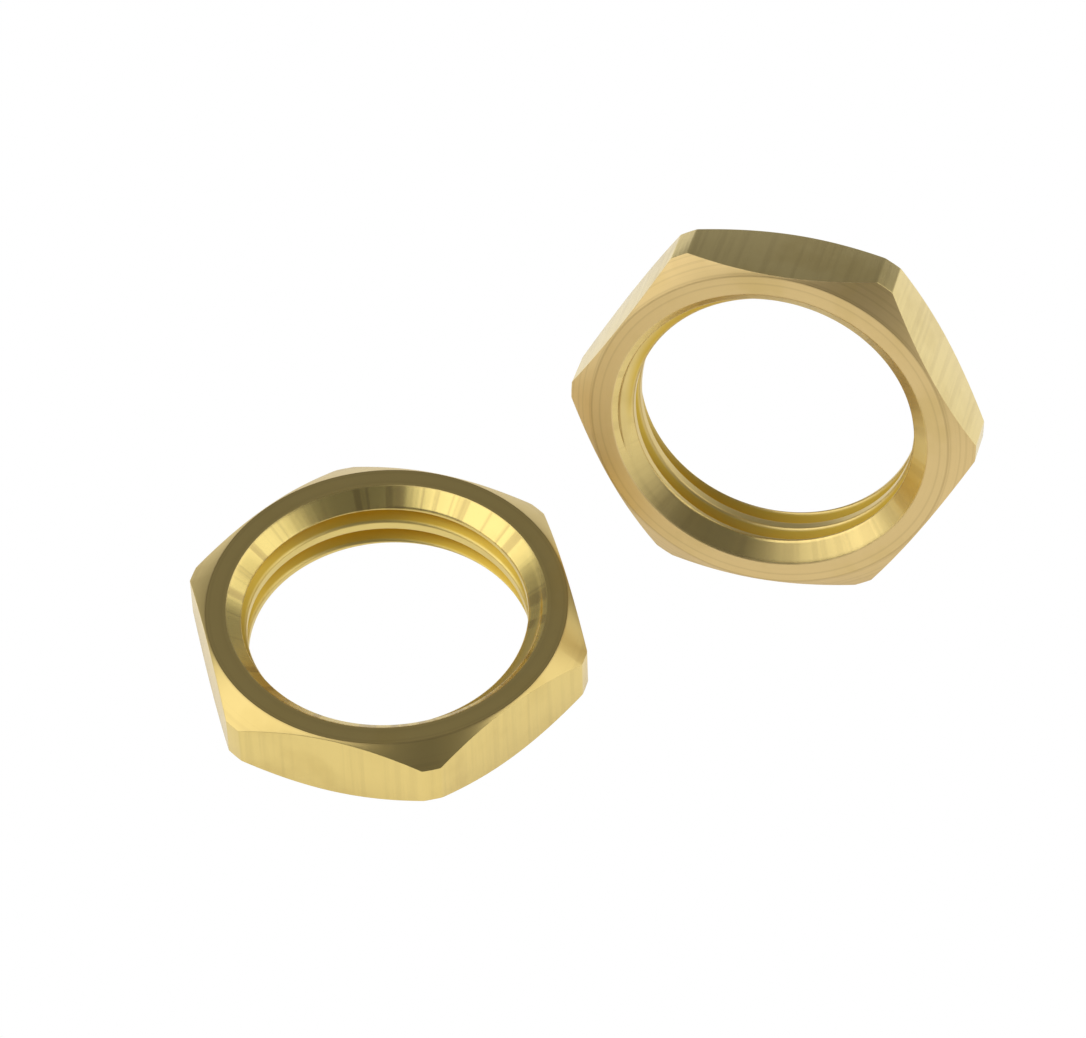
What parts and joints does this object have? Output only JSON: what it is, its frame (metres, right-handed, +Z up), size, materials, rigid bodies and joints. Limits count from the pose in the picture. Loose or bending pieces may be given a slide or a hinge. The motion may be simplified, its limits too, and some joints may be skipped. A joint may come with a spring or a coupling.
{
  "type": "cable gland locknut pair",
  "caption": "Hexagon brass locknuts for an M16 cable gland: a lying nut and a leaning nut, each with a threaded bore, chamfered corners and spanner flats.",
  "frame": {"origin": "on the ground under the middle of the pair's bounding box", "axes": "+X along the pair from the lying nut to the leaning nut, +Y to the back, +Z up; the leaning nut's bore faces the front, -Y"},
  "size_m": [0.0392, 0.0266, 0.0194],
  "materials": {
    "brass": "machined, bright, fine turning and drawing marks"
  },
  "bodies": {
    "lying": {"lying_locknut": "brass"},
    "leaning": {"leaning_locknut": "brass"}
  },
  "joints": [
    {"name": "leaning_locknut_lift", "type": "slide", "parent": "lying", "child": "leaning", "axis": [0, 0, 1], "range_m": [0, 0.04]}
  ]
}
